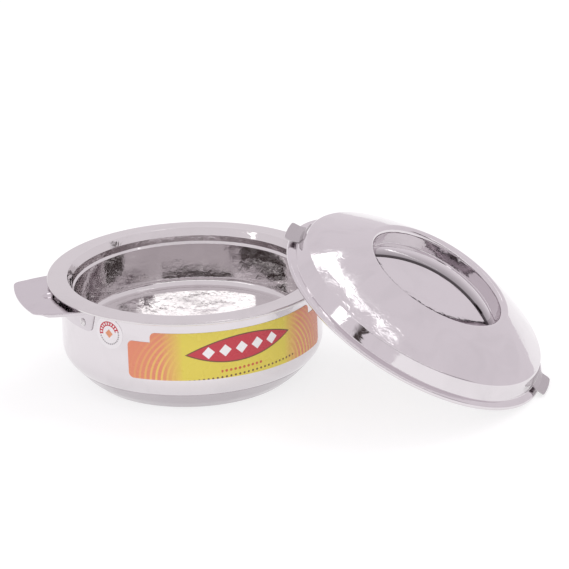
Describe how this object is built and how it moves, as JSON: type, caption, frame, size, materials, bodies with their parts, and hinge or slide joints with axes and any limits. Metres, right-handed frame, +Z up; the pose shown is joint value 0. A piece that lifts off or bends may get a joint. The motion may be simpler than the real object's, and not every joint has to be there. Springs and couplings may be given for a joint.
{
  "type": "insulated casserole",
  "caption": "Low round double-walled polished steel casserole with two side handles; its domed lid with a strap handle in a round well is off and leans on one handle.",
  "frame": {"origin": "centre of the pot's flat base, on the surface that it stands on", "axes": "+Z up along the pot's axis; the two side handles are on -X and +X; the label faces -Y; the lid leans on the +X handle, 30.7 degrees towards -Y"},
  "size_m": [0.4623, 0.3671, 0.1494],
  "materials": {
    "polished_steel": "mirror-polished stainless steel with faint wiping marks",
    "lid_steel": "mirror-polished stainless steel with faint turning marks",
    "handle_steel": "polished stainless steel pressing",
    "rivet_aluminium": "bright, dimpled by the riveting tool",
    "washer_steel": "plain zinc-plated",
    "printed_label": "glossy printed film in orange, yellow and red, no lettering",
    "clear_sticker": "glossy pale film with a red arc",
    "foam": "pale yellow rigid polyurethane foam"
  },
  "bodies": {
    "pot": {"outer_shell": "polished_steel", "base_cover": "polished_steel", "inner_bowl": "polished_steel", "body_insulation": "foam", "left_handle": "handle_steel", "right_handle": "handle_steel", "handle_rivets": "rivet_aluminium", "rivet_washers": "washer_steel", "front_label": "printed_label", "round_sticker": "clear_sticker"},
    "lid": {"lid_dome": "lid_steel", "lid_inner_pan": "lid_steel", "lid_insulation": "foam", "lid_handle": "handle_steel", "lid_tab_low": "handle_steel", "lid_tab_high": "handle_steel"}
  },
  "joints": [
    {"name": "lid_lift", "type": "slide", "parent": "pot", "child": "lid", "axis": [0, 0, 1], "range_m": [0, 0.15]}
  ]
}
